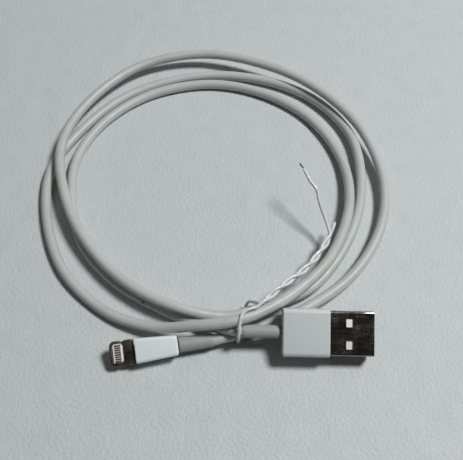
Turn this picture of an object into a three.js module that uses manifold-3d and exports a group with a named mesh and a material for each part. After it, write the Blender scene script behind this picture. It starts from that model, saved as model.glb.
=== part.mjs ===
// Charging cable, wound in three loose turns and held by a twist tie.
// Millimetres, +Z up. The origin is on the table under the middle of the cable's bounding box.
// A wide flat plug (charger side) and a small plug (phone side) end the cord through moulded sleeves.
import * as THREE from "three";
import { mergeVertices } from "three/addons/utils/BufferGeometryUtils.js";
import Module from "manifold-3d";

const wasm = await Module();
wasm.setup();

// ---- driving dimensions -------------------------------------------------------------------------
const GAP = 0.3; // between faces that meet across a joint or a cut
const FIT = 0.12; // between small pieces seated in one another

const CORD_DIAMETER = 3.1;
const CORD_SIDES = 8;
const CORD_STEPS = 80;

const CHARGER_SHELL = { width: 12.0, thick: 4.5, out: 11.9, inside: 4.0, wall: 0.3, corner: 0.6 };
const CHARGER_HOUSING = { length: 12.7, width: 12.9, thick: 6.6, corner: 1.3, edge: 0.35 };
const CHARGER_SLEEVE = { radius: 1.8, length: 10.2, neckRadius: 1.2, neckShows: 0.5, round: 0.7 };
const CHARGER_CONTACTS = { places: [-3.5, -1, 1, 3.5], width: 1.0, thick: 0.2, reach: [10.7, 9.8] };

const PHONE_TIP = { width: 6.7, thick: 1.5, out: 6.9, corner: 1.4, neckWidth: 3.4, inside: 3.0 };
const PHONE_WINDOW = { from: 3.2, to: 6.1, width: 5.2, corner: 0.5 };
const PHONE_CONTACTS = { count: 8, pitch: 0.6, width: 0.36, length: 1.7, thick: 0.14 };
const PHONE_HOUSING = { length: 11.6, front: 6.9, back: 5.4, thick: 4.4, wall: 1.0, edge: 0.6 };
const PHONE_SLEEVE = { front: 2.15, back: 1.85, length: 9.4, neckRadius: 1.0, chamfer: 0.3 };

const TIE_DIAMETER = 0.95;
const TIE_CORE_DIAMETER = 0.5;
const TWIST = { radius: 0.55, turns: 2.5, pointsPerTurn: 12 };

const WHITE_PLASTIC = { color: 0xe4e4e2, roughness: 0.45, metalness: 0 };
const BRIGHT_PLASTIC = { color: 0xf2f2f0, roughness: 0.38, metalness: 0 };
const SLEEVE_RUBBER = { color: 0xcfd0ce, roughness: 0.6, metalness: 0 };
const CORD_RUBBER = { color: 0xd4d5d3, roughness: 0.55, metalness: 0 };
const NICKEL = { color: 0x9a938a, roughness: 0.22, metalness: 1 };
const TINNED_STEEL = { color: 0xa8a8a6, roughness: 0.35, metalness: 1 };
const GOLD = { color: 0xc9a04a, roughness: 0.3, metalness: 1 };
const BOARD_GREEN = { color: 0x2c5a3a, roughness: 0.5, metalness: 0 };
const CHIP_BLACK = { color: 0x1c1c1e, roughness: 0.5, metalness: 0 };
const TIE_WHITE = { color: 0xf0f0ee, roughness: 0.4, metalness: 0 };
const BARE_WIRE = { color: 0x55504a, roughness: 0.4, metalness: 1 };
const WIRE_COLOURS = { red: 0xb03028, white: 0xdcdcd8, green: 0x2f8a4a, black: 0x202022 };

// ---- layout: the cord's route from the charger plug to the phone plug --------------------------------
const TURN_1 = [
  [4.5, -48.1, 6], [-2, -45.5, 2.95], [-12.5, -41, 1.6], [-27, -32.5, 1.6], [-38.5, -20, 1.6],
  [-44, -4, 1.6], [-44.5, 12.5, 1.6], [-37, 28, 1.6], [-22.5, 40, 1.6], [-2, 45, 1.6],
  [17, 40.5, 1.6], [32, 29.3, 1.6], [41, 11.7, 2.2], [41.5, -6.4, 3.9], [34, -25.9, 6.2],
  [24, -37, 7.6], [14.5, -43.7, 8.7],
];
const TURN_2 = [
  [6, -47.2, 9.3], [-4.5, -47.8, 7.6], [-16, -46.5, 3.6], [-30, -41, 1.6], [-44, -27.5, 1.6],
  [-51.5, -7.5, 1.6], [-52, 9, 1.6], [-43.5, 25.5, 1.6], [-29.5, 40, 1.6], [-7.5, 48.5, 1.6],
  [14, 47.5, 1.6], [32.5, 38.7, 1.8], [44.5, 22.1, 2.3], [46, 0.2, 2.4], [40, -18.7, 2.6],
  [28.5, -33.8, 2.6], [14, -40.1, 2.7],
];
const TURN_3 = [
  [4.5, -43, 3.1], [-9.5, -41.4, 5.4], [-24.5, -33.5, 5.2], [-38, -19, 5.1], [-46, -2.5, 5.1],
  [-49, 16, 5.1], [-42.5, 34, 4.7], [-26.5, 50.5, 4.5], [-5.5, 56, 4.9], [14.5, 51.5, 5.4],
  [32.5, 41.1, 5.5], [47, 23.9, 4.9], [53, 4.5, 3.3], [51, -12.3, 2.9], [41.5, -28.8, 2.8],
  [26.5, -40.5, 2.9], [15, -45.5, 2.9], [7, -48.3, 2.85],
];

// Each plug sits in a group at its flex point, where the cord enters the sleeve. Its own +X runs out
// of the mouth. heading is the turn about +Z, roll tips the flat face towards -Y.
const CHARGER_POSE = { flex: [8.5, -48.9, 6.5], heading: -1.2, roll: 27 };
const PHONE_POSE = { flex: [0.5, -50.2, 3.4], heading: 189, roll: -25, dip: -1 };

// The tie's wire: the ring around the bundle, then the twisted pair's middle line, then both ends.
const TIE_RING = [
  [12.2, -43.9, 11.2], [10.2, -44.6, 11.4], [8.6, -45.6, 11.3], [7.9, -47.3, 10.9], [7.6, -48.9, 9.8],
  [7.5, -50.2, 8.3], [7.3, -51, 6.4], [7.4, -50.7, 4.6], [7.3, -50.3, 2.6], [7.5, -49.5, 1.05],
  [7.9, -47.8, 0.6], [8.4, -44.5, 0.55], [9, -41.4, 0.6], [9.6, -39.2, 1.7], [10.4, -38.8, 3.6],
  [11.4, -39.7, 5.6],
];
const PAIR = [[14.3, -42.2, 10.9], [19.6, -36.7, 9.6], [26.6, -30.2, 7.6], [32, -22.9, 6], [34.4, -18.6, 5.5]];
const SHORT_END = [[35.5, -16, 5.9], [36.3, -14, 6.2]];
const LONG_END = [
  [33.6, -14.8, 7.4], [32.2, -11.8, 9.5], [31.2, -9.6, 11.5], [30.6, -7.3, 13.2], [28.8, -4.8, 14.2],
  [27.5, -2.4, 15], [26.9, -1.2, 15.3],
];
const BARE_END = [[26.7, -0.8, 15.4], [26.2, -0.1, 15.6], [25.7, 0.7, 15.7]];

// ---- helpers --------------------------------------------------------------------------------------
const degrees = (angle) => (angle * Math.PI) / 180;
const vectors = (points) => points.map(([x, y, z]) => new THREE.Vector3(x, y, z));

function solid(geometry) {
  const bare = geometry.clone();
  bare.deleteAttribute("normal");
  bare.deleteAttribute("uv");
  const merged = mergeVertices(bare, 1e-4);
  const mesh = new wasm.Mesh({
    numProp: 3,
    vertProperties: new Float32Array(merged.attributes.position.array),
    triVerts: new Uint32Array(merged.index.array),
  });
  return new wasm.Manifold(mesh);
}

function surface(body) {
  const mesh = body.getMesh();
  const geometry = new THREE.BufferGeometry();
  geometry.setAttribute("position", new THREE.BufferAttribute(new Float32Array(mesh.vertProperties), 3));
  geometry.setIndex(new THREE.BufferAttribute(new Uint32Array(mesh.triVerts), 1));
  geometry.computeVertexNormals();
  return geometry;
}

function part(name, geometry, look) {
  const mesh = new THREE.Mesh(geometry, new THREE.MeshStandardMaterial(look));
  mesh.name = name;
  return mesh;
}

function box(x0, x1, y0, y1, z0, z1) {
  const geometry = new THREE.BoxGeometry(x1 - x0, y1 - y0, z1 - z0);
  return geometry.translate((x0 + x1) / 2, (y0 + y1) / 2, (z0 + z1) / 2);
}

// A closed outline from corner points, each rounded by its own radius.
function roundedShape(corners, radius) {
  const shape = new THREE.Shape();
  const count = corners.length;
  for (let i = 0; i < count; i += 1) {
    const here = new THREE.Vector2(...corners[i]);
    const before = new THREE.Vector2(...corners[(i + count - 1) % count]);
    const after = new THREE.Vector2(...corners[(i + 1) % count]);
    const enter = here.clone().add(before.sub(here).setLength(radius));
    const leave = here.clone().add(after.sub(here).setLength(radius));
    if (i === 0) shape.moveTo(enter.x, enter.y);
    else shape.lineTo(enter.x, enter.y);
    shape.quadraticCurveTo(here.x, here.y, leave.x, leave.y);
  }
  shape.closePath();
  return shape;
}

const rectangle = (w, h) => [[-w / 2, -h / 2], [w / 2, -h / 2], [w / 2, h / 2], [-w / 2, h / 2]];

// A bar along X from x0 to x1 whose section is width (Y) by thick (Z) with round corners.
function bar(x0, x1, width, thick, corner, edge = 0, cornerSteps = 3) {
  const shape = roundedShape(rectangle(thick - 2 * edge, width - 2 * edge), Math.max(corner - edge, 0.05));
  const geometry = new THREE.ExtrudeGeometry(shape, {
    depth: x1 - x0 - 2 * edge, curveSegments: cornerSteps,
    bevelEnabled: edge > 0, bevelThickness: edge, bevelSize: edge, bevelSegments: 2,
  });
  return geometry.rotateY(Math.PI / 2).translate(x0 + edge, 0, 0);
}

// A plate lying in XY with the given outline, from z0 to z1.
function plate(corners, radius, z0, z1, edge = 0) {
  const geometry = new THREE.ExtrudeGeometry(roundedShape(corners, radius), {
    depth: z1 - z0 - 2 * edge, curveSegments: 4,
    bevelEnabled: edge > 0, bevelThickness: edge, bevelSize: edge, bevelSegments: 3,
  });
  return geometry.translate(0, 0, z0 + edge);
}

// A turned piece about the X axis; profile holds [x, radius] pairs.
function turned(profile, sides = 16) {
  const points = profile.map(([x, radius]) => new THREE.Vector2(radius, x));
  return new THREE.LatheGeometry(points, sides).rotateZ(-Math.PI / 2);
}

function tube(points, diameter, steps, sides) {
  const section = new THREE.Shape();
  for (let i = 0; i < sides; i += 1) {
    const angle = (2 * Math.PI * i) / sides;
    const [x, y] = [(diameter / 2) * Math.cos(angle), (diameter / 2) * Math.sin(angle)];
    if (i === 0) section.moveTo(x, y);
    else section.lineTo(x, y);
  }
  section.closePath();
  const extrudePath = new THREE.CatmullRomCurve3(vectors(points));
  return new THREE.ExtrudeGeometry(section, { steps, extrudePath, bevelEnabled: false });
}

// The four insulated wires from the cord's end at x = from to their landings at x = to.
function wires(prefix, from, to, landings, diameter, bundle) {
  return Object.entries(WIRE_COLOURS).map(([colour, color], i) => {
    const start = [i < 2 ? -bundle : bundle, i % 2 ? -bundle : bundle];
    const middle = (from + to) / 2;
    const route = [
      [from, start[0], start[1]], [from + (middle - from) * 0.5, start[0], start[1]],
      [to - (to - middle) * 0.5, landings[i], 0], [to, landings[i], 0],
    ];
    return part(`${prefix}_wire_${colour}`, tube(route, diameter, 6, 6), { color, roughness: 0.5 });
  });
}

// ---- charger plug -----------------------------------------------------------------------------------
// Local x = 0 is the front face of the housing, where the metal shell comes out.
function chargerPlug() {
  const shell = CHARGER_SHELL;
  const housing = CHARGER_HOUSING;
  const sleeve = CHARGER_SLEEVE;
  const inner = { width: shell.width - 2 * shell.wall, thick: shell.thick - 2 * shell.wall };
  const tongue = { top: inner.thick / 2 - FIT, bottom: 0.15, halfWidth: inner.width / 2 - FIT };
  const back = -housing.length;
  const cavityBack = back + 1.2;

  let tubeBody = solid(bar(-shell.inside, shell.out, shell.width, shell.thick, shell.corner))
    .subtract(solid(bar(-shell.inside - 1, shell.out + 1, inner.width, inner.thick, shell.corner / 2)));
  for (const side of [-1, 1]) {
    const middle = side * 2.95;
    tubeBody = tubeBody.subtract(solid(box(4.35, 6.25, middle - 1.2, middle + 1.2, -3, 3)));
  }

  const front = shell.out - 0.5;
  const base = { back: -3.6, front: 0.4, floor: -inner.thick / 2 + FIT, post: 4.4 };
  let tongueBody = solid(box(base.back, front, -tongue.halfWidth, tongue.halfWidth, tongue.bottom, tongue.top));
  tongueBody = tongueBody.add(
    solid(box(base.back, base.front, -tongue.halfWidth, tongue.halfWidth, base.floor, -0.3)),
  );
  for (const side of [-1, 1]) {
    const edges = [side * base.post, side * tongue.halfWidth].sort((a, b) => a - b);
    tongueBody = tongueBody.add(solid(box(base.back, base.front, ...edges, base.floor, tongue.top)));
  }

  const contacts = CHARGER_CONTACTS.places.map((y, i) => {
    const reach = CHARGER_CONTACTS.reach[i === 0 || i === 3 ? 0 : 1];
    const top = tongue.bottom - FIT;
    const half = CHARGER_CONTACTS.width / 2;
    const strip = box(-5.2, reach, y - half, y + half, top - CHARGER_CONTACTS.thick, top);
    return part(`charger_contact_${i + 1}`, strip, GOLD);
  });

  const shield = solid(bar(cavityBack + 1.9, -shell.inside - GAP, 11.2, 4.3, 0.5))
    .subtract(solid(bar(cavityBack - 1, -1, 10.6, 3.7, 0.25)));
  const crimp = solid(turned([[cavityBack + 0.2, 0], [cavityBack + 0.2, 1.9], [cavityBack + 1.6, 1.9],
    [cavityBack + 1.6, 0]])).subtract(solid(turned([[back - 3, 0], [back - 3, sleeve.neckRadius + FIT],
    [0, sleeve.neckRadius + FIT], [0, 0]])));

  const cover = solid(bar(back, 0, housing.width, housing.thick, housing.corner, housing.edge, 5))
    .subtract(solid(bar(cavityBack, 1, shell.width + 2 * FIT, shell.thick + 2 * FIT, 0.5)))
    .subtract(solid(turned([[back - 1, 0], [back - 1, sleeve.neckRadius + GAP],
      [-6, sleeve.neckRadius + GAP], [-6, 0]])));

  const neckEnd = cavityBack + 1.7;
  const sleeveFront = back - sleeve.neckShows;
  const sleeveBack = sleeveFront - sleeve.length;
  const boot = turned([
    [sleeveBack, 0], [sleeveBack, sleeve.radius - 0.2], [sleeveBack + 0.3, sleeve.radius],
    [sleeveFront - sleeve.round, sleeve.radius], [sleeveFront - 0.2, sleeve.radius - 0.25],
    [sleeveFront, sleeve.neckRadius], [neckEnd, sleeve.neckRadius], [neckEnd, 0],
  ]);

  const plug = new THREE.Group();
  plug.add(
    part("charger_shell", surface(tubeBody), NICKEL),
    part("charger_tongue", surface(tongueBody), BRIGHT_PLASTIC),
    ...contacts,
    part("charger_shield", surface(shield), TINNED_STEEL),
    part("charger_crimp", surface(crimp), TINNED_STEEL),
    ...wires("charger", neckEnd + GAP, -5.2 - GAP, CHARGER_CONTACTS.places, 0.8, 0.55),
    part("charger_housing", surface(cover), WHITE_PLASTIC),
    part("charger_sleeve", boot, SLEEVE_RUBBER),
  );
  plug.position.x = -sleeveBack;
  return plug;
}

// ---- phone plug ---------------------------------------------------------------------------------------
// Local x = 0 is the front face of the housing, where the metal tip comes out.
function phonePlug() {
  const tip = PHONE_TIP;
  const housing = PHONE_HOUSING;
  const sleeve = PHONE_SLEEVE;
  const pane = PHONE_WINDOW;
  const back = -housing.length;
  const cavity = { front: -housing.wall, back: back + housing.wall, width: 4.3, thick: 3.2 };

  const half = { tip: tip.width / 2, neck: tip.neckWidth / 2, thick: tip.thick / 2 };
  const front = [[0.3, -half.tip], [tip.out, -half.tip], [tip.out, half.tip], [0.3, half.tip]];
  const window = [[pane.from, -pane.width / 2], [pane.to, -pane.width / 2], [pane.to, pane.width / 2],
    [pane.from, pane.width / 2]];
  let frame = solid(plate(front, 0.4, -half.thick, half.thick))
    .intersect(solid(plate([[-4, -half.tip - 1], [tip.out, -half.tip - 1], [tip.out, half.tip + 1],
      [-4, half.tip + 1]].map(([x, y]) => [x, y * (half.tip / (half.tip + 1))]), tip.corner, -2, 2)))
    .add(solid(box(-tip.inside, 1, -half.neck, half.neck, -half.thick, half.thick)))
    .subtract(solid(plate(window, pane.corner, -2, 2)));
  for (const side of [-1, 1]) {
    const notch = new THREE.CylinderGeometry(0.5, 0.5, 3, 12).rotateX(Math.PI / 2);
    frame = frame.subtract(solid(notch.translate(3.4, side * (half.tip + 0.15), 0)));
  }

  const inset = (value) => value - Math.sign(value) * FIT;
  const block = window.map(([x, y], i) => [x + (i === 0 || i === 3 ? FIT : -FIT), inset(y)]);
  const blockHalf = half.thick - PHONE_CONTACTS.thick - FIT;
  const contacts = [];
  const middle = (pane.from + pane.to) / 2;
  for (const [face, sign] of [["top", 1], ["bottom", -1]]) {
    for (let i = 0; i < PHONE_CONTACTS.count; i += 1) {
      const y = (i - (PHONE_CONTACTS.count - 1) / 2) * PHONE_CONTACTS.pitch;
      const levels = [sign * (blockHalf + FIT), sign * half.thick].sort((a, b) => a - b);
      const pad = box(middle - PHONE_CONTACTS.length / 2, middle + PHONE_CONTACTS.length / 2,
        y - PHONE_CONTACTS.width / 2, y + PHONE_CONTACTS.width / 2, ...levels);
      contacts.push(part(`phone_contact_${face}_${i + 1}`, pad, GOLD));
    }
  }

  const boardFront = -tip.inside - GAP;
  const boardBack = boardFront - 3.9;
  const can = solid(bar(boardBack, -tip.inside + 1.5, 4.1, 2.9, 0.4))
    .subtract(solid(bar(boardBack - 1, 0, 3.7, 2.5, 0.2)));
  const neckEnd = cavity.back + 1.2;
  const crimp = solid(turned([[cavity.back + 0.2, 0], [cavity.back + 0.2, 1.5], [neckEnd - 0.1, 1.5],
    [neckEnd - 0.1, 0]])).subtract(solid(turned([[back - 3, 0], [back - 3, sleeve.neckRadius + FIT],
    [0, sleeve.neckRadius + FIT], [0, 0]])));

  const edge = housing.edge;
  const sides = [[-edge, housing.front / 2 - edge], [back + edge, housing.back / 2 - edge]];
  const outline = [[sides[1][0], -sides[1][1]], [sides[0][0], -sides[0][1]], sides[0], sides[1]];
  const cover = solid(plate(outline, 0.4, -housing.thick / 2, housing.thick / 2, edge))
    .subtract(solid(bar(cavity.back, cavity.front, cavity.width, cavity.thick, 0.4)))
    .subtract(solid(box(-2, 1, -half.neck - FIT, half.neck + FIT, -half.thick - FIT, half.thick + FIT)))
    .subtract(solid(turned([[back - 1, 0], [back - 1, sleeve.neckRadius + GAP],
      [cavity.back + 0.5, sleeve.neckRadius + GAP], [cavity.back + 0.5, 0]])));

  const sleeveFront = back - GAP;
  const sleeveBack = sleeveFront - sleeve.length;
  const boot = turned([
    [sleeveBack, 0], [sleeveBack, sleeve.back - sleeve.chamfer], [sleeveBack + sleeve.chamfer, sleeve.back],
    [sleeveFront, sleeve.front], [sleeveFront, sleeve.neckRadius], [neckEnd, sleeve.neckRadius],
    [neckEnd, 0],
  ]);

  const plug = new THREE.Group();
  plug.add(
    part("phone_tip_frame", surface(frame), NICKEL),
    part("phone_tip_insulator", plate(block, pane.corner, -blockHalf, blockHalf), BRIGHT_PLASTIC),
    ...contacts,
    part("phone_circuit_board", box(boardBack, boardFront, -1.7, 1.7, -0.25, 0.25), BOARD_GREEN),
    part("phone_control_chip", box(-6.4, -4.2, -1.1, 1.1, 0.25 + FIT, 0.85), CHIP_BLACK),
    part("phone_power_chip", box(-5.9, -4.5, -0.8, 0.8, -0.85, -0.25 - FIT), CHIP_BLACK),
    part("phone_shield_can", surface(can), TINNED_STEEL),
    part("phone_crimp", surface(crimp), TINNED_STEEL),
    ...wires("phone", neckEnd + GAP, boardBack - FIT, [-1.2, -0.4, 0.4, 1.2], 0.55, 0.4),
    part("phone_housing", surface(cover), BRIGHT_PLASTIC),
    part("phone_sleeve", boot, SLEEVE_RUBBER),
  );
  plug.position.x = -sleeveBack;
  return plug;
}

// Sets a plug's group at its flex point, GAP past the cord's end face.
function posed(plug, { flex, heading, roll, dip = 0 }) {
  const group = new THREE.Group();
  group.add(plug);
  group.rotation.set(degrees(roll), degrees(dip), degrees(heading), "ZYX");
  group.position.set(...flex);
  return group;
}

// ---- cord ----------------------------------------------------------------------------------------------
// The cord's first and last points lie on the sleeves' axes, one gap short of their end faces.
function cordEnd({ flex, heading, dip = 0 }, back) {
  const along = new THREE.Vector3(1, 0, 0).applyEuler(
    new THREE.Euler(0, degrees(dip), degrees(heading), "ZYX"),
  );
  return new THREE.Vector3(...flex).addScaledVector(along, -back).toArray();
}

function cord() {
  const end = 1.5 * GAP;
  const route = [
    cordEnd(CHARGER_POSE, end), ...TURN_1, ...TURN_2, ...TURN_3, cordEnd(PHONE_POSE, end),
  ];
  return part("cord_jacket", tube(route, CORD_DIAMETER, CORD_STEPS, CORD_SIDES), CORD_RUBBER);
}

// ---- twist tie -------------------------------------------------------------------------------------------
function tie() {
  const axis = new THREE.CatmullRomCurve3(vectors(PAIR));
  const count = TWIST.turns * TWIST.pointsPerTurn;
  // One strand of the pair, as points around the middle line; phase turns it half a circle.
  const strand = (phase) => Array.from({ length: count + 1 }, (_, i) => {
    const t = i / count;
    const tangent = axis.getTangentAt(t);
    const side = new THREE.Vector3(0, 0, 1).cross(tangent).normalize();
    const up = tangent.clone().cross(side);
    const angle = 2 * Math.PI * TWIST.turns * t + phase;
    return axis.getPointAt(t)
      .addScaledVector(side, TWIST.radius * Math.cos(angle))
      .addScaledVector(up, TWIST.radius * Math.sin(angle)).toArray();
  });
  const away = strand(-Math.PI / 2);
  const home = strand(Math.PI / 2);
  const route = [...SHORT_END.slice().reverse(), ...home.reverse(), ...TIE_RING, ...away, ...LONG_END];
  return [
    part("tie_coating", tube(route, TIE_DIAMETER, 130, 6), TIE_WHITE),
    part("tie_core_end", tube(BARE_END, TIE_CORE_DIAMETER, 6, 6), BARE_WIRE),
  ];
}

const cable = new THREE.Group();
cable.add(cord(), posed(chargerPlug(), CHARGER_POSE), posed(phonePlug(), PHONE_POSE), ...tie());

export default cable;
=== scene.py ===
import math

import bmesh
import bpy
from mathutils import Matrix, Vector


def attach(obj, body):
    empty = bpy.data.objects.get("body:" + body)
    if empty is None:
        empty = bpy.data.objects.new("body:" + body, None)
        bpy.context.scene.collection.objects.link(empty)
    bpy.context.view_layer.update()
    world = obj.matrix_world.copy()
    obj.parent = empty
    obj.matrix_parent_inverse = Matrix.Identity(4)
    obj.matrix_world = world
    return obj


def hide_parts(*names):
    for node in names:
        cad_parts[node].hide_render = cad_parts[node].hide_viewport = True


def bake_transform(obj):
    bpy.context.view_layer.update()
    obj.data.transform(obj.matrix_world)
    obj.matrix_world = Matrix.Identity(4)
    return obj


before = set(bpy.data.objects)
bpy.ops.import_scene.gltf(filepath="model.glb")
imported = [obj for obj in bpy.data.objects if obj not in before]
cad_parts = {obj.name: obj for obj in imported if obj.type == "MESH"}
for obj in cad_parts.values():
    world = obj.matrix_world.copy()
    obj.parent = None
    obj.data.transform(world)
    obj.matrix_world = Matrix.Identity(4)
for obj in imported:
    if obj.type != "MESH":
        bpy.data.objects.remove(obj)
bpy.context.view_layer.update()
scene = bpy.context.scene

# ---- where it is seen from -----------------------------------------------------------------------
# The cable lies on a table and is looked down on from its near side, where both plugs lie. The lens
# is a plain normal one, level with the table's edge, and it aims at the middle of the plugs' side.
aim = Vector((0.0055, -0.013, 0.0))
height_angle = math.radians(59)
distance = 0.212

camera_data = bpy.data.cameras.new("viewer")
camera_data.sensor_width = 36
camera_data.lens = 53.9
camera_data.clip_start = 0.005
viewer = bpy.data.objects.new("viewer", camera_data)
viewer.location = aim + distance * Vector((0, -math.cos(height_angle), math.sin(height_angle)))
viewer.rotation_euler = (math.pi / 2 - height_angle, 0, 0)
scene.collection.objects.link(viewer)
scene.camera = viewer
scene.view_settings.view_transform = "Standard"

# ---- cord ----------------------------------------------------------------------------------------
# The cord is a round elastomer jacket, 3.1 mm thick, extruded over four wires. Its satin surface has
# picked up a little soiling and dust. It runs from one sleeve, three times round, into the other.
cord_diameter = 0.0031
charger_entry = (0.0085, -0.0489, 0.0065)
phone_entry = (0.0005, -0.0502, 0.0034)
turn_1 = [
    (0.0045, -0.0481, 0.006), (-0.002, -0.0455, 0.00295), (-0.0125, -0.041, 0.0016),
    (-0.027, -0.0325, 0.0016), (-0.0385, -0.02, 0.0016), (-0.044, -0.004, 0.0016),
    (-0.0445, 0.0125, 0.0016), (-0.037, 0.028, 0.0016), (-0.0225, 0.04, 0.0016),
    (-0.002, 0.045, 0.0016), (0.017, 0.0405, 0.0016), (0.032, 0.0293, 0.0016),
    (0.041, 0.0117, 0.0022), (0.0415, -0.0064, 0.0039), (0.034, -0.0259, 0.0062),
    (0.024, -0.037, 0.0076), (0.0145, -0.0437, 0.0087),
]
turn_2 = [
    (0.006, -0.0472, 0.0093), (-0.0045, -0.0478, 0.0076), (-0.016, -0.0465, 0.0036),
    (-0.03, -0.041, 0.0016), (-0.044, -0.0275, 0.0016), (-0.0515, -0.0075, 0.0016),
    (-0.052, 0.009, 0.0016), (-0.0435, 0.0255, 0.0016), (-0.0295, 0.04, 0.0016),
    (-0.0075, 0.0485, 0.0016), (0.014, 0.0475, 0.0016), (0.0325, 0.0387, 0.0018),
    (0.0445, 0.0221, 0.0023), (0.046, 0.0002, 0.0024), (0.04, -0.0187, 0.0026),
    (0.0285, -0.0338, 0.0026), (0.014, -0.0401, 0.0027),
]
turn_3 = [
    (0.0045, -0.043, 0.0031), (-0.0095, -0.0414, 0.0054), (-0.0245, -0.0335, 0.0052),
    (-0.038, -0.019, 0.0051), (-0.046, -0.0025, 0.0051), (-0.049, 0.016, 0.0051),
    (-0.0425, 0.034, 0.0047), (-0.0265, 0.0505, 0.0045), (-0.0055, 0.056, 0.0049),
    (0.0145, 0.0515, 0.0054), (0.0325, 0.0411, 0.0055), (0.047, 0.0239, 0.0049),
    (0.053, 0.0045, 0.0033), (0.051, -0.0123, 0.0029), (0.0415, -0.0288, 0.0028),
    (0.0265, -0.0405, 0.0029), (0.015, -0.0455, 0.0029), (0.007, -0.0483, 0.00285),
]


def smooth_path(points, spacing):
    """Points in equal steps along the centripetal spline through the given ones."""
    knots = [Vector(p) for p in points]
    knots = [2 * knots[0] - knots[1], *knots, 2 * knots[-1] - knots[-2]]
    fine = []
    for before, here, there, after in zip(knots, knots[1:], knots[2:], knots[3:]):
        stretches = ((before, here), (here, there), (there, after))
        first, span, last = ((b - a).length ** 0.5 for a, b in stretches)
        leave = (here - before) / first - (there - before) / (first + span) + (there - here) / span
        reach = (there - here) / span - (after - here) / (span + last) + (after - there) / last
        leave, reach = leave * span, reach * span
        for step in range(40):
            t = step / 40
            fine.append(
                here * (2 * t**3 - 3 * t**2 + 1) + leave * (t**3 - 2 * t**2 + t)
                + there * (3 * t**2 - 2 * t**3) + reach * (t**3 - t**2)
            )
    fine.append(knots[-2].copy())
    run = [0.0]
    for a, b in zip(fine, fine[1:]):
        run.append(run[-1] + (b - a).length)
    count = max(2, round(run[-1] / spacing))
    path, i = [], 0
    for step in range(count + 1):
        goal = run[-1] * step / count
        while i < len(fine) - 2 and run[i + 1] < goal:
            i += 1
        share = (goal - run[i]) / max(run[i + 1] - run[i], 1e-12)
        path.append(fine[i].lerp(fine[i + 1], min(1.0, share)))
    return path


def swept_rings(path, section, sides):
    """One ring of points round each point of the path; section(i, angle) gives the radius there."""
    angles = [2 * math.pi * k / sides for k in range(sides)]
    rings, side = [], None
    for i, here in enumerate(path):
        ahead = (path[min(i + 1, len(path) - 1)] - path[max(i - 1, 0)]).normalized()
        if side is None:
            side = ahead.orthogonal().normalized()
        side = (side - ahead * side.dot(ahead)).normalized()
        up = ahead.cross(side)
        rings.append([here + section(i, a) * (math.cos(a) * side + math.sin(a) * up) for a in angles])
    return rings


def skinned(name, rings, close_ends=True, joined=False):
    """A mesh over rings of equal counts; joined links the last ring to the first."""
    count = len(rings[0])
    points = [p for ring in rings for p in ring]
    faces = []
    for r in range(len(rings) if joined else len(rings) - 1):
        a, b = r * count, ((r + 1) % len(rings)) * count
        faces += [(a + k, a + (k + 1) % count, b + (k + 1) % count, b + k) for k in range(count)]
    if close_ends and not joined:
        faces.append(tuple(reversed(range(count))))
        faces.append(tuple(range(len(points) - count, len(points))))
    mesh = bpy.data.meshes.new(name)
    mesh.from_pydata([tuple(p) for p in points], [], faces)
    tidy = bmesh.new()
    tidy.from_mesh(mesh)
    bmesh.ops.recalc_face_normals(tidy, faces=tidy.faces)
    tidy.to_mesh(mesh)
    tidy.free()
    return shown(name, mesh)


def shown(name, mesh, crease=40):
    mesh.polygons.foreach_set("use_smooth", [True] * len(mesh.polygons))
    mesh.set_sharp_from_angle(angle=math.radians(crease))
    piece = bpy.data.objects.new(name, mesh)
    scene.collection.objects.link(piece)
    return piece


def new_group(name, inputs, outputs):
    """An empty shader group with named sockets; a list of (name, kind, value) each."""
    group = bpy.data.node_groups.new(name, "ShaderNodeTree")
    for side, sockets in (("INPUT", inputs), ("OUTPUT", outputs)):
        for label, kind, value in sockets:
            socket = group.interface.new_socket(label, in_out=side, socket_type=f"NodeSocket{kind}")
            if value is not None:
                socket.default_value = value
    source = group.nodes.new("NodeGroupInput")
    sink = group.nodes.new("NodeGroupOutput")
    return group, source.outputs, sink.inputs


def node(tree, kind, settings=(), **sockets):
    """One node; a socket is set to a value or linked from another node's output."""
    made = tree.nodes.new(kind)
    for key, value in dict(settings).items():
        setattr(made, key, value)
    for key, value in sockets.items():
        socket = made.inputs[int(key[1:])] if key[0] == "_" else made.inputs[key.replace("_", " ")]
        if isinstance(value, bpy.types.NodeSocket):
            tree.links.new(value, socket)
        else:
            socket.default_value = value
    return made


def spread(tree, value, low, high, to_low=0.0, to_high=1.0):
    """Value between low and high, stretched over to_low and to_high."""
    return node(tree, "ShaderNodeMapRange", Value=value, From_Min=low, From_Max=high,
                To_Min=to_low, To_Max=to_high).outputs["Result"]


# Soiling: broad soft patches of handling dirt with finer smudges inside them.
soiling, given, put = new_group(
    "soiling",
    [("Vector", "Vector", None), ("Patch Scale", "Float", 60.0), ("Amount", "Float", 0.3),
     ("Clean", "Color", (0.8, 0.8, 0.8, 1)), ("Soiled", "Color", (0.6, 0.58, 0.52, 1))],
    [("Color", "Color", None), ("Mask", "Float", None)],
)
broad = node(soiling, "ShaderNodeTexNoise", Vector=given["Vector"], Scale=given["Patch Scale"], Detail=4.0)
finer = node(soiling, "ShaderNodeMath", {"operation": "MULTIPLY"}, _0=given["Patch Scale"], _1=7.0)
smudge = node(soiling, "ShaderNodeTexNoise", Vector=given["Vector"], Scale=finer.outputs[0], Detail=6.0)
both = node(soiling, "ShaderNodeMath", {"operation": "MULTIPLY"},
            _0=spread(soiling, broad.outputs["Fac"], 0.42, 0.66),
            _1=spread(soiling, smudge.outputs["Fac"], 0.36, 0.62, 0.35, 1.0))
share = node(soiling, "ShaderNodeMath", {"operation": "MULTIPLY"}, _0=both.outputs[0], _1=given["Amount"])
tint = node(soiling, "ShaderNodeMix", {"data_type": "RGBA"}, Factor=share.outputs[0])
soiling.links.new(given["Clean"], tint.inputs[6])
soiling.links.new(given["Soiled"], tint.inputs[7])
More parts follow.
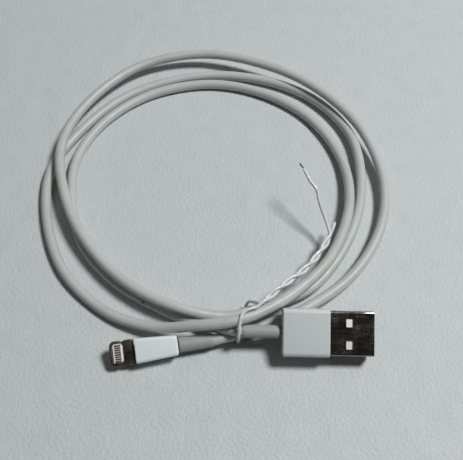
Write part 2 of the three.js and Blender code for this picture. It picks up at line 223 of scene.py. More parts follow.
soiling.links.new(tint.outputs[2], put["Color"])
soiling.links.new(share.outputs[0], put["Mask"])

# Dust: small dark grains scattered far apart.
dust, given, put = new_group(
    "dust",
    [("Vector", "Vector", None), ("Spacing Scale", "Float", 300.0), ("Grain Size", "Float", 0.1)],
    [("Mask", "Float", None)],
)
cells = node(dust, "ShaderNodeTexVoronoi", Vector=given["Vector"], Scale=given["Spacing Scale"])
chosen = node(dust, "ShaderNodeSeparateColor", Color=cells.outputs["Color"])
few = node(dust, "ShaderNodeMath", {"operation": "GREATER_THAN"}, _0=chosen.outputs[0], _1=0.86)
size = node(dust, "ShaderNodeMath", {"operation": "MULTIPLY"}, _0=given["Grain Size"], _1=chosen.outputs[1])
close = node(dust, "ShaderNodeMath", {"operation": "LESS_THAN"},
             _0=cells.outputs["Distance"], _1=size.outputs[0])
grains = node(dust, "ShaderNodeMath", {"operation": "MULTIPLY"}, _0=few.outputs[0], _1=close.outputs[0])
dust.links.new(grains.outputs[0], put["Mask"])

# Skin: the fine matt grain of a moulded or extruded surface, as height and as a change in roughness.
skin, given, put = new_group(
    "skin",
    [("Vector", "Vector", None), ("Grain Scale", "Float", 3000.0), ("Roughness", "Float", 0.5),
     ("Variation", "Float", 0.1)],
    [("Height", "Float", None), ("Roughness", "Float", None)],
)
grain = node(skin, "ShaderNodeTexNoise", Vector=given["Vector"], Scale=given["Grain Scale"], Detail=3.0)
slower = node(skin, "ShaderNodeMath", {"operation": "MULTIPLY"}, _0=given["Grain Scale"], _1=0.12)
waves = node(skin, "ShaderNodeTexNoise", Vector=given["Vector"], Scale=slower.outputs[0], Detail=2.0)
height = node(skin, "ShaderNodeMath", {"operation": "ADD"},
              _0=grain.outputs["Fac"], _1=waves.outputs["Fac"])
swing = node(skin, "ShaderNodeMath", {"operation": "SUBTRACT"}, _0=waves.outputs["Fac"], _1=0.5)
swing = node(skin, "ShaderNodeMath", {"operation": "MULTIPLY_ADD"},
             _0=swing.outputs[0], _1=given["Variation"], _2=given["Roughness"])
skin.links.new(height.outputs[0], put["Height"])
skin.links.new(swing.outputs[0], put["Roughness"])

# Rubbed and lit edges: how far a point lies on an outside edge. The edge colour there is partly wear from
# handling and partly a painted highlight.
worn_and_lit_edges, given, put = new_group(
    "worn_and_lit_edges",
    [("Vector", "Vector", None), ("Sharpness", "Float", 0.53), ("Patchiness Scale", "Float", 900.0)],
    [("Mask", "Float", None)],
)
bend = node(worn_and_lit_edges, "ShaderNodeNewGeometry")
edge = node(worn_and_lit_edges, "ShaderNodeMapRange", Value=bend.outputs["Pointiness"], From_Max=0.62)
worn_and_lit_edges.links.new(given["Sharpness"], edge.inputs["From Min"])
patches = node(worn_and_lit_edges, "ShaderNodeTexNoise", Vector=given["Vector"], Scale=given["Patchiness Scale"])
edge_wear_and_light = node(worn_and_lit_edges, "ShaderNodeMath", {"operation": "MULTIPLY"}, _0=edge.outputs["Result"],
              _1=spread(worn_and_lit_edges, patches.outputs["Fac"], 0.35, 0.6, 0.3, 1.0))
worn_and_lit_edges.links.new(edge_wear_and_light.outputs[0], put["Mask"])


def placed(tree, group, **sockets):
    """A shader group placed in a material with its own values."""
    return node(tree, "ShaderNodeGroup", {"node_tree": group}, **sockets).outputs


def soft_plastic(name, clean, soiled, amount, roughness, grain_scale=3000.0, grain_depth=0.00001,
                 patch_scale=60.0, dust_scale=0.0, edge_wear_and_highlight=None, subsurface=0.0):
    """Moulded or extruded polymer: soiled patches, dust, edges lightened by wear and a painted highlight,
    and a fine matt skin.
    """
    material = bpy.data.materials.new(name)
    material.use_nodes = True
    tree = material.node_tree
    shader = tree.nodes["Principled BSDF"]
    where = node(tree, "ShaderNodeTexCoord").outputs["Object"]
    marks = placed(tree, soiling, Vector=where, Patch_Scale=patch_scale, Amount=amount,
                   Clean=(*clean, 1), Soiled=(*soiled, 1))
    colour = marks["Color"]
    # Outside edges take a lighter colour: partly wear, partly a painted highlight.
    if edge_wear_and_highlight:
        lit_worn_mask = placed(tree, worn_and_lit_edges, Vector=where)["Mask"]
        mix = node(tree, "ShaderNodeMix", {"data_type": "RGBA"}, _0=lit_worn_mask, _6=colour, _7=(*edge_wear_and_highlight, 1))
        colour = mix.outputs[2]
    if dust_scale:
        specks = placed(tree, dust, Vector=where, Spacing_Scale=dust_scale)["Mask"]
        mix = node(tree, "ShaderNodeMix", {"data_type": "RGBA"}, _0=specks, _6=colour,
                   _7=(soiled[0] * 0.3, soiled[1] * 0.3, soiled[2] * 0.3, 1))
        colour = mix.outputs[2]
    tree.links.new(colour, shader.inputs["Base Color"])
    surface = placed(tree, skin, Vector=where, Grain_Scale=grain_scale, Roughness=roughness)
    tree.links.new(surface["Roughness"], shader.inputs["Roughness"])
    bump = node(tree, "ShaderNodeBump", Strength=0.5, Distance=grain_depth, Height=surface["Height"])
    tree.links.new(bump.outputs["Normal"], shader.inputs["Normal"])
    shader.inputs["IOR"].default_value = 1.46
    if subsurface:
        shader.inputs["Subsurface Weight"].default_value = subsurface
        shader.inputs["Subsurface Radius"].default_value = (1.0, 0.9, 0.8)
        shader.inputs["Subsurface Scale"].default_value = 0.0006
    return material


# Which way each plug points from the cord: turned about the upright, and the small one dipped a little.
charger_turn = math.radians(-1.2)
charger_heading = Vector((math.cos(charger_turn), math.sin(charger_turn), 0))
phone_turn, phone_dip = math.radians(189), math.radians(-1)
phone_heading = Vector((
    math.cos(phone_turn) * math.cos(phone_dip),
    math.sin(phone_turn) * math.cos(phone_dip),
    -math.sin(phone_dip),
))
# The cord runs straight for a moment on both sides of a sleeve's end.
outside_sleeve = 0.00045
inside_sleeve = 0.0003
cord_route = [
    Vector(charger_entry) - outside_sleeve * charger_heading, *turn_1, *turn_2, *turn_3,
    Vector(phone_entry) - outside_sleeve * phone_heading,
]
cord_path = smooth_path(cord_route, spacing=0.0011)
cord_path = [Vector(charger_entry) + inside_sleeve * charger_heading, *cord_path,
             Vector(phone_entry) + inside_sleeve * phone_heading]


# The jacket isn't drawn quite round: it swells and thins by a few hundredths of a millimetre.
def jacket_radius(i, angle):
    swelling = 0.006 * math.sin(0.31 * i + angle) + 0.004 * math.sin(0.083 * i - 2 * angle)
    return cord_diameter / 2 * (1 + swelling)


cord = skinned("cord", swept_rings(cord_path, jacket_radius, sides=24))
cord.data.materials.append(soft_plastic(
    "cord_elastomer", clean=(0.52, 0.55, 0.54), soiled=(0.385, 0.40, 0.36), amount=0.45, roughness=0.42,
    grain_scale=2600.0, grain_depth=0.000012, patch_scale=45.0, dust_scale=260.0, subsurface=0.06,
))
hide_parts("cord_jacket")
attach(cord, "cord")

# ---- charger plug: sleeve ------------------------------------------------------------------------
# A plain elastomer sleeve keeps the cord from kinking. It is moulded round the cord, and its neck
# goes through the back of the cover, where the crimp holds it. The real one bends when the plug is
# pushed aside; here it is drawn in one resting shape.
sleeve_end = -23.4
cover_back = -12.7
charger_place = (
    Matrix.Translation(charger_entry) @ Matrix.Rotation(charger_turn, 4, "Z")
    @ Matrix.Rotation(math.radians(27), 4, "X") @ Matrix.Translation((-sleeve_end / 1000, 0, 0))
)


def turned_rings(profile, sides=48):
    """Rings about the plug's long axis through (place along it, radius) pairs, in millimetres."""
    return [
        [Vector((x, radius * math.cos(2 * math.pi * k / sides), radius * math.sin(2 * math.pi * k / sides)))
         for k in range(sides)]
        for x, radius in profile
    ]


def in_steps(start, stop, count):
    """Evenly spaced (place, radius) pairs from start to stop, both included."""
    return [tuple(a + (b - a) * k / count for a, b in zip(start, stop)) for k in range(count + 1)]


def settled(piece, place):
    """Takes a piece made in a plug's own millimetres to its place on the table."""
    piece.data.transform(Matrix.Scale(0.001, 4))
    piece.matrix_world = place
    return piece


charger_sleeve = skinned("charger_boot", turned_rings([
    (sleeve_end + 0.7, 0.02), (sleeve_end + 0.7, 1.6), (sleeve_end + 0.08, 1.6),
    (sleeve_end + 0.01, 1.64), (sleeve_end, 1.68), (sleeve_end + 0.05, 1.76),
    *in_steps((sleeve_end + 0.2, 1.8), (-13.95, 1.8), 22),
    (-13.7, 1.77), (-13.5, 1.69), (-13.35, 1.57), (-13.24, 1.4), (-13.2, 1.2),
    (cover_back, 1.2), (-9.8, 1.2), (-9.8, 0.02),
]))
settled(charger_sleeve, charger_place)
charger_sleeve.data.materials.append(soft_plastic(
    "sleeve_elastomer", clean=(0.37, 0.40, 0.395), soiled=(0.27, 0.275, 0.25), amount=0.55, roughness=0.5,
    grain_scale=3200.0, grain_depth=0.000014, patch_scale=160.0, dust_scale=420.0, subsurface=0.1,
))
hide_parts("charger_sleeve")
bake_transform(charger_sleeve)

# ---- charger plug: crimp, wires and shield -------------------------------------------------------
# Inside the cover a tinned crimp grips the sleeve's neck, four thin wires fan out to the contacts, and
# a folded tinned steel shield closes round their solder joints. The wire colours are the usual ones.


def drawn_metal(name, colour, roughness, stained, stain=0.5, brushing=(1.0, 1.0, 1.0), grain_scale=2500.0,
                grain_depth=0.000004, edge_wear_and_highlight=None):
    """Plated or bare metal: clouded by touch, finely brushed, and lightened where its edges stand out,
    partly by wear and partly by a painted highlight.
    """
    material = bpy.data.materials.new(name)
    material.use_nodes = True
    tree = material.node_tree
    shader = tree.nodes["Principled BSDF"]
    shader.inputs["Metallic"].default_value = 1.0
    where = node(tree, "ShaderNodeTexCoord").outputs["Object"]
    lengthwise = node(tree, "ShaderNodeMapping", Vector=where, Scale=brushing).outputs["Vector"]
    marks = placed(tree, soiling, Vector=where, Patch_Scale=260.0, Amount=stain,
                   Clean=(*colour, 1), Soiled=(*stained, 1))
    finish = marks["Color"]
    # Outside edges take a lighter colour: partly wear, partly a painted highlight.
    if edge_wear_and_highlight:
        lit_worn_mask = placed(tree, worn_and_lit_edges, Vector=where)["Mask"]
        mix = node(tree, "ShaderNodeMix", {"data_type": "RGBA"}, _0=lit_worn_mask, _6=finish, _7=(*edge_wear_and_highlight, 1))
        finish = mix.outputs[2]
    tree.links.new(finish, shader.inputs["Base Color"])
    surface = placed(tree, skin, Vector=lengthwise, Grain_Scale=grain_scale, Roughness=roughness,
                     Variation=0.22)
    cloudy = node(tree, "ShaderNodeMath", {"operation": "MULTIPLY_ADD"}, _0=marks["Mask"], _1=0.25,
                  _2=surface["Roughness"])
    tree.links.new(cloudy.outputs[0], shader.inputs["Roughness"])
    bump = node(tree, "ShaderNodeBump", Strength=0.4, Distance=grain_depth, Height=surface["Height"])
    tree.links.new(bump.outputs["Normal"], shader.inputs["Normal"])
    return material


def dressed(name, material):
    """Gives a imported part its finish."""
    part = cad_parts[name]
    for slot in part.material_slots:
        slot.material = material
    if not part.material_slots:
        part.data.materials.append(material)


tin = drawn_metal("tinned_steel", (0.62, 0.62, 0.61), 0.34, (0.42, 0.40, 0.37), brushing=(1, 6, 1))
for part in ("charger_crimp", "charger_shield", "phone_crimp", "phone_shield_can"):
    dressed(part, tin)
wire_colours = {"red": (0.50, 0.035, 0.025), "white": (0.72, 0.72, 0.69), "green": (0.03, 0.27, 0.07),
                "black": (0.02, 0.02, 0.022)}
for colour, paint in wire_colours.items():
    insulation = soft_plastic(f"{colour}_insulation", clean=paint, soiled=tuple(0.6 * c for c in paint),
                              amount=0.5, roughness=0.42, patch_scale=500.0)
    dressed(f"charger_wire_{colour}", insulation)
    dressed(f"phone_wire_{colour}", insulation)

# ---- charger plug: contacts ----------------------------------------------------------------------
# Four stamped and gold-plated strips lie under the tongue. The outer two reach further forward, so that
# power joins first. Each strip's front end is turned up into the tongue.
contact_places = (-3.5, -1.0, 1.0, 3.5)
contact_reach = (10.7, 9.8, 9.8, 10.7)
gold = drawn_metal("gold_plate", (0.83, 0.61, 0.28), 0.24, (0.45, 0.29, 0.13), brushing=(1, 8, 1))


def strip(name, line, across, width, thick, corner):
    """A flat strip whose middle follows (along, height) points, with softly broken edges."""
    rings = []
    for along, height in line:
        half, deep = width / 2, thick / 2
        rings.append([Vector((along, across + y, height + z)) for y, z in (
            (half, -deep + corner), (half, deep - corner), (half - corner, deep), (corner - half, deep),
            (-half, deep - corner), (-half, corner - deep), (corner - half, -deep), (half - corner, -deep),
        )])
    return skinned(name, rings)


for i, (across, reach) in enumerate(zip(contact_places, contact_reach)):
    line = [(-5.2, -0.07), (0.0, -0.07), (2.0, -0.07), (reach - 2.2, -0.07), (reach - 1.4, -0.04),
            (reach - 0.8, -0.05), (reach - 0.3, -0.07), (reach, -0.06)]
    contact = settled(strip(f"charger_strip_{i + 1}", line, across, 1.0, 0.18, 0.05), charger_place)
    contact.data.materials.append(gold)
    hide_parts(f"charger_contact_{i + 1}")
    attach(contact, "charger_plug")

# ---- charger plug: tongue ------------------------------------------------------------------------
# The tongue is a white moulded insulator that fills the far half of the shell. The contacts lie on its
# underside, and its base closes round them at the back. It shows white through the shell's windows.


def block(x0, x1, y0, y1, z0, z1, edge):
    """A block in a plug's millimetres with its edges broken, as its points and faces in a bmesh."""
    made = bmesh.new()
    bmesh.ops.create_cube(made, size=1.0)
    for vert in made.verts:
        vert.co = Vector((
            x0 if vert.co.x < 0 else x1, y0 if vert.co.y < 0 else y1, z0 if vert.co.z < 0 else z1,
        ))
    bmesh.ops.bevel(made, geom=made.edges[:], offset=edge, segments=3, profile=0.5, affect="EDGES")
    return made


def blocks(name, sizes):
    """One piece made of blocks that stand face to face; each size is x0, x1, y0, y1, z0, z1, edge."""
    whole = bmesh.new()
    for size in sizes:
        made = block(*size)
        part_mesh = bpy.data.meshes.new("block")
        made.to_mesh(part_mesh)
        made.free()
        whole.from_mesh(part_mesh)
        bpy.data.meshes.remove(part_mesh)
    mesh = bpy.data.meshes.new(name)
    whole.to_mesh(mesh)
    whole.free()
    return shown(name, mesh)


tongue = settled(blocks("charger_insulator", [
    (-3.6, 11.4, -5.58, 5.58, 0.15, 1.83, 0.14), (-3.6, 0.4, -5.58, 5.58, -1.83, -0.3, 0.1),
    (-3.6, 0.4, -5.58, -4.4, -0.3, 0.15, 0.02), (-3.6, 0.4, 4.4, 5.58, -0.3, 0.15, 0.02),
]), charger_place)
insulator = soft_plastic(
    "insulator_white", clean=(0.90, 0.91, 0.90), soiled=(0.72, 0.71, 0.68), amount=0.25, roughness=0.45,
    patch_scale=300.0,
)
tongue.data.materials.append(insulator)
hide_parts("charger_tongue")
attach(tongue, "charger_plug")

# ---- charger plug: shell -------------------------------------------------------------------------
# The shell is one nickel-plated steel sheet, 0.3 mm thick, folded into a flat tube. Its edges meet in a
# seam along the middle of one face, locked by a dovetail. Each face has two windows that the socket's
# springs drop into.
shell_width, shell_thick, shell_wall, shell_corner = 12.0, 4.5, 0.3, 0.6
window_middle, window_half = (5.3, 2.95), (0.95, 1.2)


def round_section(x, width, thick, corner, steps=7, parting=0.0):
    """A ring round a flat section at x; parting pulls in its middle line, where mould halves meet."""
    ring, corner = [], max(corner, 0.02)
    for quarter, (sy, sz) in enumerate(((1, 1), (-1, 1), (-1, -1), (1, -1))):
        middle = (sy * (width / 2 - corner), sz * (thick / 2 - corner))
        for step in range(steps + 1):
            angle = math.pi / 2 * (quarter + step / steps)
            across, up = corner * math.cos(angle), corner * math.sin(angle)
            ring.append(Vector((x, middle[0] + across, middle[1] + up)))
        if quarter in (1, 3):
            out, above = sy * width / 2, -sy * 0.09
            ring += [Vector((x, out, above)), Vector((x, out - sy * parting, 0)), Vector((x, out, -above))]
    return ring


def cut(piece, cutters):
    """Cuts other pieces out of one, and removes them."""
    for cutter in cutters:
        step = piece.modifiers.new("cut", "BOOLEAN")
        step.object, step.operation, step.solver = cutter, "DIFFERENCE", "EXACT"
    bpy.context.view_layer.update()
    result = bpy.data.meshes.new_from_object(piece.evaluated_get(bpy.context.evaluated_depsgraph_get()))
    piece.modifiers.clear()
    piece.data = result
    for cutter in cutters:
        bpy.data.objects.remove(cutter)
    result.polygons.foreach_set("use_smooth", [True] * len(result.polygons))
    result.set_sharp_from_angle(angle=math.radians(35))


def shell_ring(x, inset):
    return round_section(x, shell_width - 2 * inset, shell_thick - 2 * inset, shell_corner - inset)


shell = skinned("charger_folded_shell", [
    shell_ring(x, inset) for x, inset in (
        (-4.0, 0.0), (0.0, 0.0), (3.0, 0.0), (7.5, 0.0), (11.78, 0.0), (11.85, 0.02), (11.89, 0.07),
        (11.9, 0.13), (11.89, 0.2), (11.85, 0.26), (11.78, shell_wall), (7.5, shell_wall),
        (3.0, shell_wall), (-4.0, shell_wall),
    )
], joined=True)


def prism(name, outline, low, high):
    """An upright prism over an outline of (along, across) points."""
    return skinned(name, [[Vector((x, y, z)) for x, y in outline] for z in (low, high)])


def round_outline(middle, half, corner, steps=5):
    outline = []
    for quarter, (sx, sy) in enumerate(((1, 1), (-1, 1), (-1, -1), (1, -1))):
        for step in range(steps + 1):
            angle = math.pi / 2 * (quarter + step / steps)
            outline.append((middle[0] + sx * (half[0] - corner) + corner * math.cos(angle),
                            middle[1] + sy * (half[1] - corner) + corner * math.sin(angle)))
    return outline


def seam_groove(line, width, low, high):
    """A thin wall along a line of (along, across) points, to cut a groove with."""
    left, right = [], []
    for i, here in enumerate(line):
        ahead = (Vector(line[min(i + 1, len(line) - 1)]) - Vector(line[max(i - 1, 0)])).normalized()
        side = Vector((-ahead.y, ahead.x)) * width / 2
        left.append((here[0] + side.x, here[1] + side.y))
        right.append((here[0] - side.x, here[1] - side.y))
    return prism("seam_cutter", left + right[::-1], low, high)


dovetail = [
    (13.0, 0.0), (9.75, 0.0), (9.55, 0.06), (9.5, 0.3), (9.6, 0.75), (9.5, 0.9), (9.3, 0.95),
    (8.3, 0.95), (8.1, 0.9), (8.0, 0.75), (8.1, 0.3), (8.05, 0.06), (7.85, 0.0), (-1.0, 0.0),
]
window_outlines = [round_outline((window_middle[0], side * window_middle[1]), window_half, 0.22)
                   for side in (-1, 1)]
windows = [prism("window_cutter", outline, -4, 4) for outline in window_outlines]
cut(shell, [*windows, seam_groove(dovetail, 0.05, shell_thick / 2 - 0.1, shell_thick)])
settled(shell, charger_place)
shell.data.materials.append(drawn_metal(
    "nickel_plate", (0.33, 0.305, 0.275), 0.15, (0.20, 0.17, 0.135), stain=0.6, brushing=(1.0, 9.0, 1.0),
    grain_scale=1400.0, edge_wear_and_highlight=(0.66, 0.63, 0.58),
))
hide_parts("charger_shell")
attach(shell, "charger_plug")

# ---- charger plug: cover -------------------------------------------------------------------------
# The cover is a hard white moulded box with a hair-thin parting line round its sides. The shell comes out
# of its front through a close slot, and the sleeve's neck out of a round hole in its back.
cover_size = (12.9, 6.6, 1.3)
cover_edge = {"front": 0.3, "back": 0.45}


def broken_edge(x, radius, way, steps=6):
    """(place, inset) pairs round an end's edge; way is 1 where the end faces forward."""
    return [(x - way * radius * (1 - math.sin(a)), radius * (1 - math.cos(a)))
            for a in (math.pi / 2 * k / steps for k in range(steps + 1))]


def ring_round(x, radius, like):
    """A round ring with a point for each of the given ring's, at the same angles."""
    return [Vector((x, radius * math.cos(a), radius * math.sin(a)))
            for a in (math.atan2(p.z / cover_size[1], p.y / cover_size[0]) for p in like)]


def cover_ring(x, inset):
    width, thick, corner = cover_size
    return round_section(x, width - 2 * inset, thick - 2 * inset, corner - inset, parting=0.02)


slot_size = (12.24, 4.74, 0.5)
cavity_back = -11.5
outside = [cover_ring(x, inset) for x, inset in
           broken_edge(cover_back, cover_edge["back"], -1)[::-1] + broken_edge(0.0, cover_edge["front"], 1)]
slot = [round_section(0.0, slot_size[0] + 0.1, slot_size[1] + 0.1, slot_size[2]),
        round_section(-0.05, *slot_size), round_section(cavity_back, *slot_size)]
hole = [ring_round(x, 1.5, outside[0]) for x in (cavity_back, cover_back + 0.06)]
hole.append(ring_round(cover_back, 1.58, outside[0]))
cover = settled(skinned("charger_cover", outside + slot + hole, joined=True), charger_place)
cover.data.materials.append(soft_plastic(
    "cover_white", clean=(0.63, 0.675, 0.685), soiled=(0.54, 0.565, 0.56), amount=0.3, roughness=0.36,
    grain_scale=4200.0, grain_depth=0.000006, patch_scale=120.0, dust_scale=320.0, edge_wear_and_highlight=(0.68, 0.69, 0.68),
    subsurface=0.08,
))
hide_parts("charger_housing")
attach(cover, "charger_plug")

# ---- phone plug: sleeve --------------------------------------------------------------------------
# The phone end has a shorter elastomer sleeve that tapers towards the cord. Its neck goes through the
# back of the small cover into a crimp. Like the other one it bends in use, but it is drawn in one resting
# shape.
phone_sleeve_end = -21.3
phone_back = -11.6
phone_place = (
    Matrix.Translation(phone_entry) @ Matrix.Rotation(phone_turn, 4, "Z")
    @ Matrix.Rotation(phone_dip, 4, "Y") @ Matrix.Rotation(math.radians(-25), 4, "X")
    @ Matrix.Translation((-phone_sleeve_end / 1000, 0, 0))
)
phone_sleeve = skinned("phone_boot", turned_rings([
    (phone_sleeve_end + 0.7, 0.02), (phone_sleeve_end + 0.7, 1.59), (phone_sleeve_end + 0.03, 1.59),
    (phone_sleeve_end, 1.62), (phone_sleeve_end + 0.02, 1.68),
    *in_steps((phone_sleeve_end + 0.3, 1.85), (-12.05, 2.14), 22), (-11.95, 2.1), (-11.9, 2.0),
    (-11.9, 1.0), (phone_back, 1.0), (-9.4, 1.0), (-9.4, 0.02),
]))
settled(phone_sleeve, phone_place)
phone_sleeve.data.materials.append(soft_plastic(
    "small_sleeve_elastomer", clean=(0.36, 0.39, 0.38), soiled=(0.27, 0.28, 0.26), amount=0.5,
    roughness=0.48, grain_scale=3200.0, grain_depth=0.000014, patch_scale=170.0, dust_scale=420.0,
    subsurface=0.1,
))
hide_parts("phone_sleeve")
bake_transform(phone_sleeve)

# ---- phone plug: circuit board -------------------------------------------------------------------
# A green epoxy board behind the tip carries one chip on each face, in black moulded packages. They sit
# inside the shield can and are seen only when the cover is off.
dressed("phone_circuit_board", soft_plastic(
    "board_epoxy", clean=(0.02, 0.14, 0.05), soiled=(0.01, 0.07, 0.025), amount=0.6, roughness=0.4,
    patch_scale=900.0,
))
chip_epoxy = soft_plastic("chip_epoxy", clean=(0.022, 0.022, 0.025), soiled=(0.06, 0.06, 0.06), amount=0.4,
                          roughness=0.5, grain_scale=9000.0, patch_scale=700.0)
dressed("phone_control_chip", chip_epoxy)
dressed("phone_power_chip", chip_epoxy)

# ---- phone plug: tip frame -----------------------------------------------------------------------
# The tip is one small nickel-plated frame with round front corners, 1.5 mm thick, and a stem that goes
# into the cover. A notch in each edge takes the phone's latch, and a window holds the contacts.
tip_half, tip_out, tip_corner, tip_thick = 3.35, 6.9, 1.4, 1.5
stem_half, stem_back, shoulder = 1.7, -3.0, 0.3
notch_at, notch_radius, notch_out = 3.4, 0.5, 0.15


def arc(middle, radius, start, stop, steps=10):
    return [(middle[0] + radius * math.cos(start + (stop - start) * k / steps),
             middle[1] + radius * math.sin(start + (stop - start) * k / steps)) for k in range(steps + 1)]


notch_turn = math.asin(notch_out / notch_radius)
upper_side = [
    *arc((tip_out - tip_corner, tip_half - tip_corner), tip_corner, 0, math.pi / 2),
    *arc((notch_at, tip_half + notch_out), notch_radius, -notch_turn, notch_turn - math.pi),
    *arc((shoulder + 0.25, tip_half - 0.25), 0.25, math.pi / 2, math.pi, 4),
    (shoulder, stem_half), (stem_back, stem_half),
]
tip_outline = upper_side + [(x, -y) for x, y in upper_side[::-1]]


def flat_piece(name, outlines, thick, edge, middle=0.0):
    """A flat plate from closed (along, across) outlines, inner ones being holes, with rounded edges."""
    flat = bpy.data.curves.new(name, "CURVE")
    flat.dimensions, flat.fill_mode = "2D", "BOTH"
    for outline in outlines:
        line = flat.splines.new("POLY")
        line.points.add(len(outline) - 1)
        for point, (x, y) in zip(line.points, outline):
            point.co = (x, y, 0, 1)
        line.use_cyclic_u = True
    flat.extrude, flat.bevel_depth, flat.bevel_resolution, flat.offset = thick / 2 - edge, edge, 3, -edge
    drawn = bpy.data.objects.new(name, flat)
    scene.collection.objects.link(drawn)
    bpy.context.view_layer.update()
    mesh = bpy.data.meshes.new_from_object(drawn.evaluated_get(bpy.context.evaluated_depsgraph_get()))
    bpy.data.objects.remove(drawn)
    mesh.transform(Matrix.Translation((0, 0, middle)))
    joined = bmesh.new()
    joined.from_mesh(mesh)
    bmesh.ops.remove_doubles(joined, verts=joined.verts, dist=0.0005)
    bmesh.ops.recalc_face_normals(joined, faces=joined.faces)
    joined.to_mesh(mesh)
    joined.free()
    mesh.name = name
    return shown(name, mesh, 50)


window_centre, window_size = (4.65, 0.0), (1.45, 2.6)
tip_window = round_outline(window_centre, window_size, 0.8, 8)
tip = settled(flat_piece("phone_metal_frame", [tip_outline, tip_window], tip_thick, 0.13), phone_place)
tip.data.materials.append(drawn_metal(
    "tip_nickel", (0.30, 0.27, 0.24), 0.24, (0.20, 0.15, 0.11), stain=0.8, brushing=(1.0, 5.0, 1.0),
    grain_scale=1800.0, edge_wear_and_highlight=(0.62, 0.60, 0.57),
))
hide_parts("phone_tip_frame")
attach(tip, "phone_plug")

# ---- phone plug: insulator and contacts ----------------------------------------------------------
# White plastic is moulded into the frame's window on both faces, with eight gold-plated pads set side by
# side in it, 0.6 mm apart. The pads lie along the plug and stand a hair out of the plastic.
plastic = settled(flat_piece("phone_window_insulator", [round_outline(window_centre, (1.33, 2.48), 0.7, 8)],
                             0.98, 0.08), phone_place)
plastic.data.materials.append(insulator)
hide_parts("phone_tip_insulator")
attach(plastic, "phone_plug")

pad_gold = drawn_metal("pad_gold", (0.26, 0.215, 0.15), 0.32, (0.12, 0.10, 0.075), stain=0.9,
                       brushing=(1, 6, 1))
for face, sign in (("top", 1), ("bottom", -1)):
    for i in range(8):
        outline = round_outline((window_centre[0], (i - 3.5) * 0.6), (0.85, 0.18), 0.15)
        pad = flat_piece(f"phone_pad_{face}_{i + 1}", [outline], 0.14, 0.04, sign * (tip_thick / 2 - 0.07))
        settled(pad, phone_place)
        pad.data.materials.append(pad_gold)
        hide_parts(f"phone_contact_{face}_{i + 1}")
        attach(pad, "phone_plug")

# ---- phone plug: cover ---------------------------------------------------------------------------
# The small cover is a glossy white moulding that narrows slightly towards the cord, with soft corners at
# its back and a crisp rim at its front. The tip's stem goes into a slot in its front.
front_half, back_half, phone_thick, phone_corner = 3.45, 2.7, 4.4, 0.85
phone_edge = {"front": 0.22, "back": 0.75}


def small_cover_ring(x, inset):
    half = front_half + (back_half - front_half) * x / phone_back
    thick, corner = phone_thick - 2 * inset, phone_corner - inset / 2
    return round_section(x, 2 * (half - inset), thick, corner, parting=0.015)


back_rim = broken_edge(phone_back, phone_edge["back"], -1, 8)[::-1]
front_rim = broken_edge(0.0, phone_edge["front"], 1)
outside = [small_cover_ring(x, inset) for x, inset in back_rim + front_rim]
slot = [round_section(0.0, 3.74, 1.84, 0.2), round_section(-0.05, 3.64, 1.74, 0.15),
        round_section(-1.0, 3.64, 1.74, 0.15), round_section(-1.0, 4.3, 3.2, 0.4),
        round_section(-10.6, 4.3, 3.2, 0.4)]
hole = [ring_round(x, 1.3, outside[0]) for x in (-10.6, phone_back + 0.06)]
hole.append(ring_round(phone_back, 1.37, outside[0]))
small_cover = settled(skinned("phone_cover", outside + slot + hole, joined=True), phone_place)
small_cover.data.materials.append(soft_plastic(
    "small_cover_white", clean=(0.785, 0.85, 0.865), soiled=(0.67, 0.70, 0.69), amount=0.3, roughness=0.27,
    grain_scale=4200.0, grain_depth=0.000005, patch_scale=130.0, dust_scale=330.0, edge_wear_and_highlight=(0.88, 0.88, 0.86),
    subsurface=0.08,
))
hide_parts("phone_housing")
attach(small_cover, "phone_plug")

# ---- twist tie -----------------------------------------------------------------------------------
# A steel wire in a clear-white polyethylene coat is put once round the bundle, twisted together beside
# it and bent up. The long end has lost its coat for a few millimetres, so the bare wire shows.
coat_diameter, core_diameter = 0.00095, 0.0005
twist_radius, twist_turns, twist_steps = 0.00055, 2.5, 30
tie_ring = [
    (0.0122, -0.0439, 0.0112), (0.0102, -0.0446, 0.0114), (0.0086, -0.0456, 0.0113),
    (0.0079, -0.0473, 0.0109), (0.0076, -0.0489, 0.0098), (0.0075, -0.0502, 0.0083),
    (0.0073, -0.051, 0.0064), (0.0074, -0.0507, 0.0046), (0.0073, -0.0503, 0.0026),
    (0.0075, -0.0495, 0.00105), (0.0079, -0.0478, 0.0006), (0.0084, -0.0445, 0.00055),
    (0.009, -0.0414, 0.0006), (0.0096, -0.0392, 0.0017), (0.0104, -0.0388, 0.0036),
    (0.0114, -0.0397, 0.0056),
]
pair = [
    (0.0143, -0.0422, 0.0109), (0.0196, -0.0367, 0.0096), (0.0266, -0.0302, 0.0076),
    (0.032, -0.0229, 0.006), (0.0344, -0.0186, 0.0055),
]
short_end = [
    (0.0355, -0.016, 0.0059), (0.0363, -0.014, 0.0062),
]
long_end = [
    (0.0336, -0.0148, 0.0074), (0.0322, -0.0118, 0.0095), (0.0312, -0.0096, 0.0115),
    (0.0306, -0.0073, 0.0132), (0.0288, -0.0048, 0.0142), (0.0275, -0.0024, 0.015),
    (0.0269, -0.0012, 0.0153),
]
bare_end = [
    (0.0267, -0.0008, 0.0154), (0.0262, -0.0001, 0.0156), (0.0257, 0.0007, 0.0157),
]
pair_line = smooth_path(pair, 0.0002)


def twisted(phase):
    """One wire of the pair, as points round the pair's middle line."""
    points = []
    for i in range(twist_steps + 1):
        k = round(i / twist_steps * (len(pair_line) - 1))
        ahead = (pair_line[min(k + 1, len(pair_line) - 1)] - pair_line[max(k - 1, 0)]).normalized()
        side = Vector((0, 0, 1)).cross(ahead).normalized()
        angle = 2 * math.pi * twist_turns * i / twist_steps + phase
        out = math.cos(angle) * side + math.sin(angle) * ahead.cross(side)
        points.append(pair_line[k] + twist_radius * out)
    return points


coat_path = smooth_path(
    [*short_end[::-1], *twisted(math.pi / 2)[::-1], *tie_ring, *twisted(-math.pi / 2), *long_end], 0.00035)


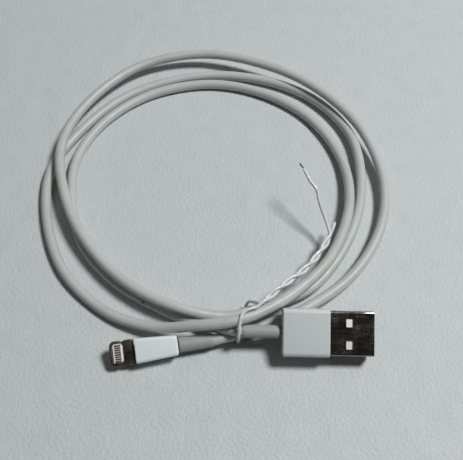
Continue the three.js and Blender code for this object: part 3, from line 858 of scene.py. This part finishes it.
# The coat is squeezed a little where it was twisted and rounded off at its ends.
def coat_radius(i, angle):
    from_end = min(i, len(coat_path) - 1 - i)
    rounding = (0.55, 0.86, 0.97)[from_end] if from_end < 3 else 1.0
    return coat_diameter / 2 * rounding * (1 + 0.035 * math.sin(0.21 * i) * math.cos(2 * angle + 0.05 * i))


coat = skinned("tie_coat", swept_rings(coat_path, coat_radius, sides=16))
coat.data.materials.append(soft_plastic(
    "tie_polyethylene", clean=(0.74, 0.76, 0.78), soiled=(0.50, 0.51, 0.50), amount=0.5, roughness=0.26,
    grain_scale=2200.0, grain_depth=0.000012, patch_scale=300.0, subsurface=0.35,
))
coat.active_material.node_tree.nodes["Principled BSDF"].inputs["Coat Weight"].default_value = 0.3
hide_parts("tie_coating")
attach(coat, "cord")

core_path = smooth_path([long_end[-1], *bare_end], 0.0002)[2:]


# The bare end was nipped off, so it is a little flattened and pointed.
def core_radius(i, angle):
    left = len(core_path) - 1 - i
    return core_diameter / 2 * (0.45 + 0.18 * left if left < 3 else 1.0)


core = skinned("tie_bare_wire", swept_rings(core_path, core_radius, sides=10))
core.data.materials.append(drawn_metal(
    "tie_steel", (0.16, 0.145, 0.13), 0.38, (0.08, 0.06, 0.045), stain=0.8, brushing=(1, 1, 5),
))
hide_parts("tie_core_end")
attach(core, "cord")

# ---- table and light -----------------------------------------------------------------------------
# A pale grey table with a fine leathery grain. A soft lamp stands high on the right and a weak one fills
# from the left. The room is dim beyond the table and dark behind the viewer, which the bright metal shows.
table_mesh = bpy.data.meshes.new("table")
table_mesh.from_pydata([(-1.5, -1.5, 0), (1.5, -1.5, 0), (1.5, 1.5, 0), (-1.5, 1.5, 0)], [], [(0, 1, 2, 3)])
table = bpy.data.objects.new("table", table_mesh)
scene.collection.objects.link(table)
table_mesh.materials.append(soft_plastic(
    "table_laminate", clean=(0.575, 0.615, 0.62), soiled=(0.525, 0.565, 0.57), amount=0.6, roughness=0.6,
    grain_scale=1100.0, grain_depth=0.0005, patch_scale=150.0,
))


def lamp(name, place, size, power, colour):
    light = bpy.data.lights.new(name, "AREA")
    light.shape, light.size = "DISK", size
    light.energy, light.color = power, colour
    stand = bpy.data.objects.new(name, light)
    stand.location = place
    stand.rotation_euler = (Vector((0, 0, 0)) - Vector(place)).to_track_quat("-Z", "Y").to_euler()
    scene.collection.objects.link(stand)


lamp("key_lamp", place=(0.5, 0.11, 0.9), size=0.26, power=9.2, colour=(1.0, 1.0, 1.0))
lamp("fill_lamp", place=(-0.5, -0.1, 0.6), size=0.8, power=0.2, colour=(1.0, 0.95, 0.9))

room = bpy.data.worlds.new("room")
room.use_nodes = True
room_tree = room.node_tree
backdrop = room_tree.nodes["Background"]
direction = node(room_tree, "ShaderNodeTexCoord").outputs["Generated"]
away = node(room_tree, "ShaderNodeSeparateXYZ", Vector=direction).outputs["Y"]
shade = node(room_tree, "ShaderNodeMapRange", {"interpolation_type": "SMOOTHSTEP"}, Value=away,
             From_Min=-0.3, From_Max=0.45).outputs["Result"]
walls = node(room_tree, "ShaderNodeMix", {"data_type": "RGBA"}, _0=shade, _6=(0.02, 0.02, 0.018, 1),
             _7=(0.13, 0.13, 0.12, 1))
room_tree.links.new(walls.outputs[2], backdrop.inputs["Color"])
backdrop.inputs["Strength"].default_value = 1.0
scene.world = room
